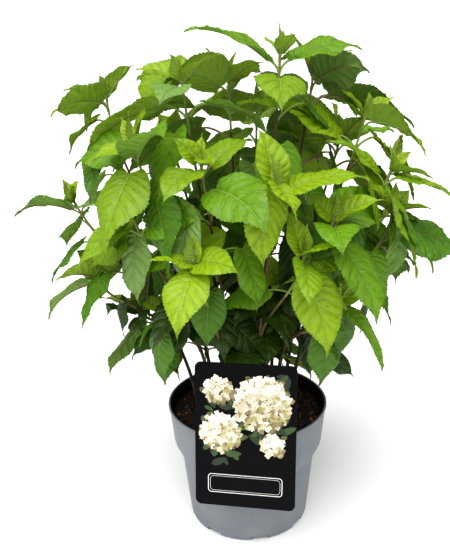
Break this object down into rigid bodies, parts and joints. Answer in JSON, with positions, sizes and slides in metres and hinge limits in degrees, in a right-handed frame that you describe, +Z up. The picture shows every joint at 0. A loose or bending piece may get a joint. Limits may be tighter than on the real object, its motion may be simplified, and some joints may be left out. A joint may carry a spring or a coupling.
{
  "type": "hydrangea shrub",
  "caption": "Young leafy hydrangea shrub in a grey nursery pot with a black card hooked on the rim.",
  "frame": {"origin": "middle of the pot's flat underside", "axes": "+Z up, -Y towards the side with the card, +X to the right as seen from the card's side"},
  "size_m": [0.505, 0.4051, 0.5675],
  "materials": {
    "pot_grey": "satin",
    "soil_brown": "rough",
    "card_black": "gloss",
    "stem_bark": "matte",
    "leaf_green": "satin"
  },
  "bodies": {
    "root": {"pot": "pot_grey", "soil": "soil_brown", "card": "card_black", "card_hook": "card_black", "stem_top_middle": "stem_bark", "stem_top_left": "stem_bark", "stem_top_right": "stem_bark", "stem_top_back": "stem_bark", "stem_left_upper": "stem_bark", "stem_front_upper": "stem_bark", "stem_front_middle": "stem_bark", "stem_front_left": "stem_bark", "stem_left_front": "stem_bark", "stem_left": "stem_bark", "stem_right_front": "stem_bark", "stem_right": "stem_bark", "stem_right_upper": "stem_bark", "stem_right_back": "stem_bark", "stem_back_middle": "stem_bark", "stem_back_left": "stem_bark", "foliage_top_middle": "leaf_green", "foliage_top_left": "leaf_green", "foliage_top_right": "leaf_green", "foliage_top_back": "leaf_green", "foliage_left_upper": "leaf_green", "foliage_front_upper": "leaf_green", "foliage_front_middle": "leaf_green", "foliage_front_left": "leaf_green", "foliage_left_front": "leaf_green", "foliage_left": "leaf_green", "foliage_right_front": "leaf_green", "foliage_right": "leaf_green", "foliage_right_upper": "leaf_green", "foliage_right_back": "leaf_green", "foliage_back_middle": "leaf_green", "foliage_back_left": "leaf_green"}
  },
  "joints": []
}
